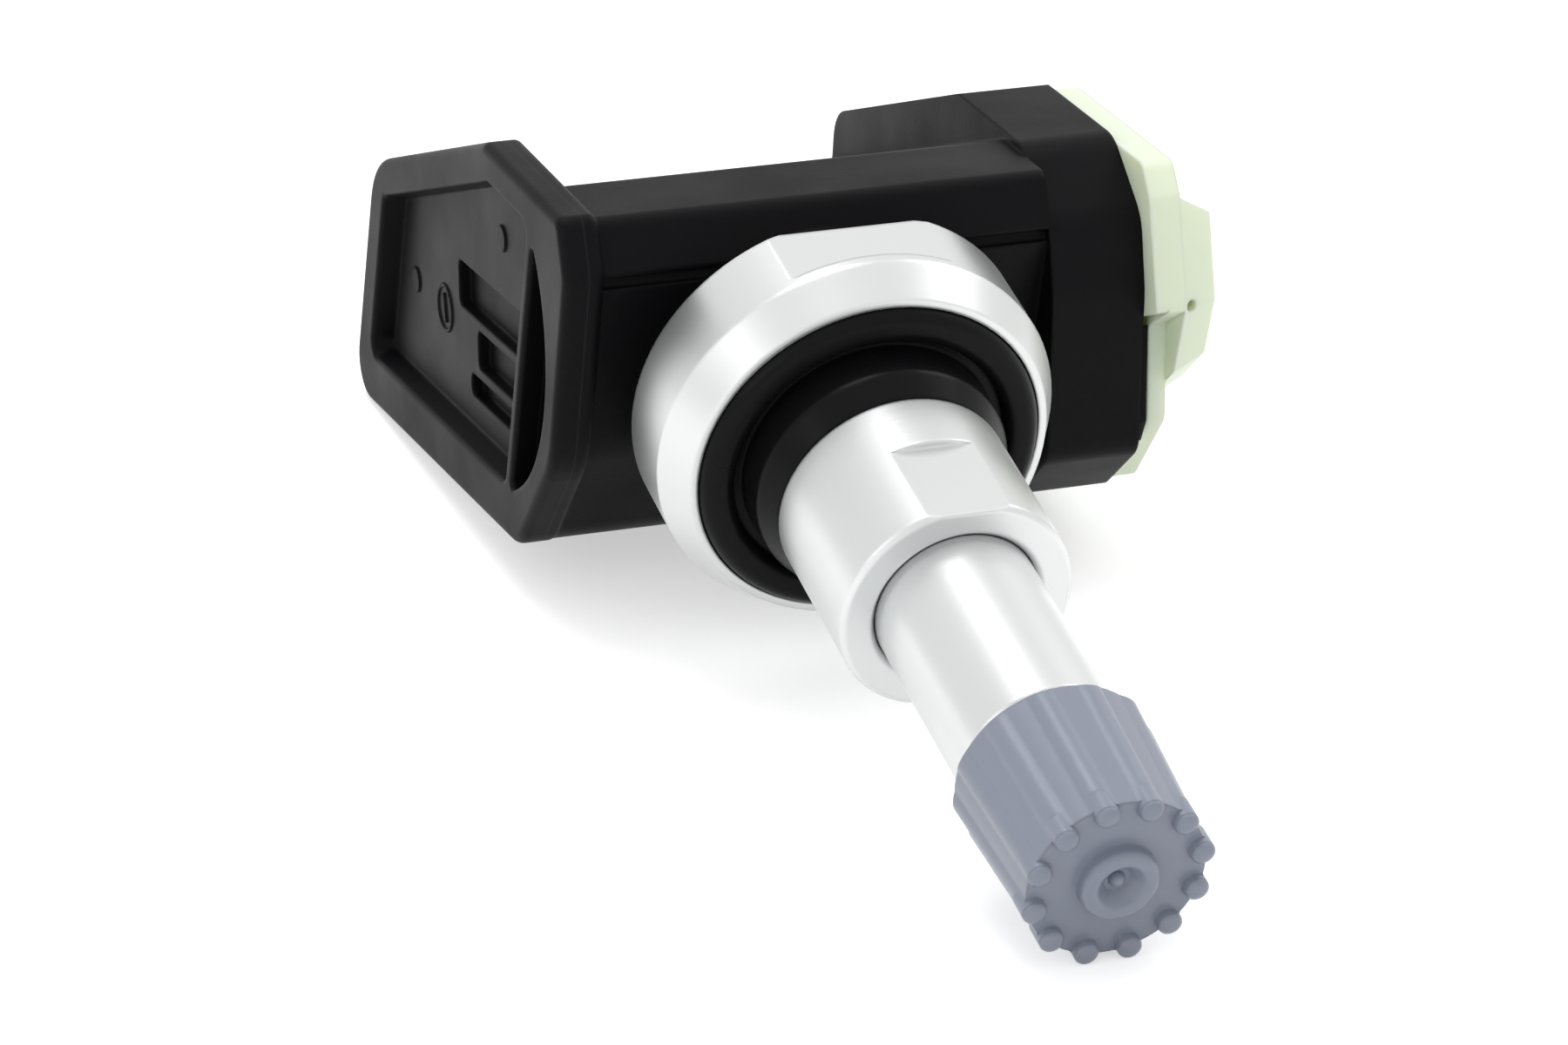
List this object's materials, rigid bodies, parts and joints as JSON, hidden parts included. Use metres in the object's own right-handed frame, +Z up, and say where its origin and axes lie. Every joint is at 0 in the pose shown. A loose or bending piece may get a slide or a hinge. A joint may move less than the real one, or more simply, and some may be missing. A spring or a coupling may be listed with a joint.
{
  "type": "tyre pressure sensor",
  "caption": "Tyre pressure sensor: wedge-shaped black housing with a pale welded lid on a clamp-in aluminium valve with a round spanner-flat collar, rubber grommet, sleeve nut and ribbed screw cap.",
  "frame": {"origin": "centre of the rubber grommet's sealing face, on the valve stem's axis", "axes": "+X along the housing towards its lid, -Y towards the valve cap, +Z up from the table the part lies on"},
  "size_m": [0.0352, 0.0783, 0.0231],
  "materials": {
    "housing": "satin",
    "lid": "satin",
    "board": "satin",
    "cell": "satin",
    "tab_plus": "satin",
    "tab_minus": "satin",
    "sensor_chip": "matt",
    "crystal": "satin",
    "coil_core": "matt",
    "coil_winding": "satin",
    "capacitors": "matt",
    "aerial": "satin",
    "collar": "satin",
    "grommet": "gloss",
    "stem": "satin",
    "sleeve_nut": "satin",
    "fixing_screw": "satin",
    "core_barrel": "satin",
    "core_ring": "satin",
    "core_pin": "satin",
    "core_cup": "matt",
    "core_spring": "satin",
    "cap": "satin",
    "cap_seal": "matt"
  },
  "bodies": {
    "sensor": {"housing": "housing", "lid": "lid", "board": "board", "cell": "cell", "tab_plus": "tab_plus", "tab_minus": "tab_minus", "sensor_chip": "sensor_chip", "crystal": "crystal", "coil_core": "coil_core", "coil_winding": "coil_winding", "capacitors": "capacitors", "aerial": "aerial", "collar": "collar", "grommet": "grommet", "stem": "stem", "sleeve_nut": "sleeve_nut", "fixing_screw": "fixing_screw", "core_barrel": "core_barrel", "core_ring": "core_ring", "core_spring": "core_spring"},
    "pin": {"core_pin": "core_pin", "core_cup": "core_cup"},
    "cap_washer": {"cap_seal": "cap_seal"},
    "cap": {"cap": "cap"}
  },
  "joints": [
    {"name": "pin_press", "type": "slide", "parent": "sensor", "child": "pin", "axis": [0, 0.9748, 0.2233], "range_m": [0, 0.0015], "stiffness_N_per_m": 500, "springref_m": -0.001, "deforming": ["core_spring"]},
    {"name": "cap_lift", "type": "slide", "parent": "sensor", "child": "cap_washer", "axis": [0, -0.9748, -0.2233], "range_m": [0, 0.0068]},
    {"name": "cap_turn", "type": "hinge", "parent": "cap_washer", "child": "cap", "pos_m": [0, 0, 0], "axis": [0, -0.9748, -0.2233], "range_deg": [0, 3090]}
  ],
  "couplings": [
    {"joint": "cap_turn", "follows": "cap_lift", "rad_per_m": 7913.3}
  ]
}
